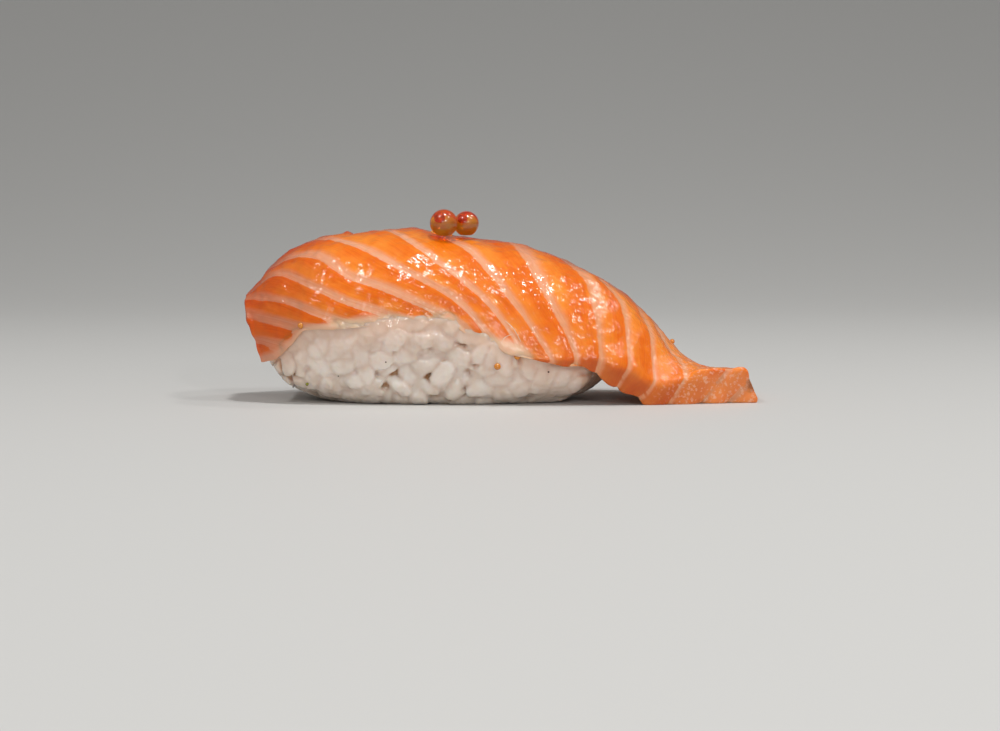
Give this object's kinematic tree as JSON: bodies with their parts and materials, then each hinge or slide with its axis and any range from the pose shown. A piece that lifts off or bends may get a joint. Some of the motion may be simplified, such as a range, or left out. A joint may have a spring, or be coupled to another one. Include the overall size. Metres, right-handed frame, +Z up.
{
  "type": "salmon nigiri",
  "caption": "Salmon nigiri: a striped slice of raw salmon draped over a pressed oblong of rice, its tail flat on the board, with pearls of roe on top.",
  "frame": {"origin": "middle of the base: the centre of the bounding box in plan, at the height of the board it stands on", "axes": "+X along the slice to the tail that lies on the board, +Z up, -Y the front long side"},
  "size_m": [0.0824, 0.0308, 0.0311],
  "materials": {
    "rice": "cooked rice, moist and slightly translucent",
    "salmon": "raw salmon with pale fat lines, wet and slightly translucent",
    "roe": "salmon roe, clear and shiny"
  },
  "bodies": {
    "root": {"rice_ball": "rice", "salmon_slice": "salmon", "roe_pearl_left": "roe", "roe_pearl_right": "roe"}
  },
  "joints": []
}
